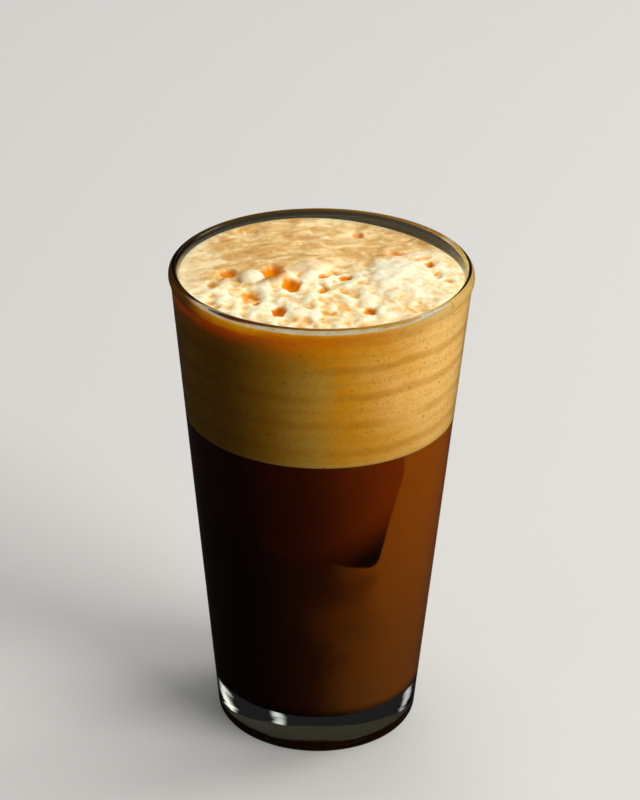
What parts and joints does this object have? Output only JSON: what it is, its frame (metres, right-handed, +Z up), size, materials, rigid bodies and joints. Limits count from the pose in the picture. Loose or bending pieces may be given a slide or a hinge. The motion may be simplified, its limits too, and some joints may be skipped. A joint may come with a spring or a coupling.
{
  "type": "yuzu espresso tonic",
  "caption": "Iced espresso tonic in a tall tapered pint glass with a rolled rim and a heavy clear base, topped with a deep golden foam whose surface is broken into soft puffs and pits.",
  "frame": {"origin": "centre of the glass's foot, on the surface that it stands on", "axes": "+Z up along the glass's axis, -Y towards the picture's camera"},
  "size_m": [0.0888, 0.0889, 0.1492],
  "materials": {
    "glass": "clear, polished",
    "coffee": "cloudy brown liquid",
    "foam": "soft matte foam"
  },
  "bodies": {
    "root": {"glass": "glass", "coffee": "coffee", "foam": "foam"}
  },
  "joints": []
}
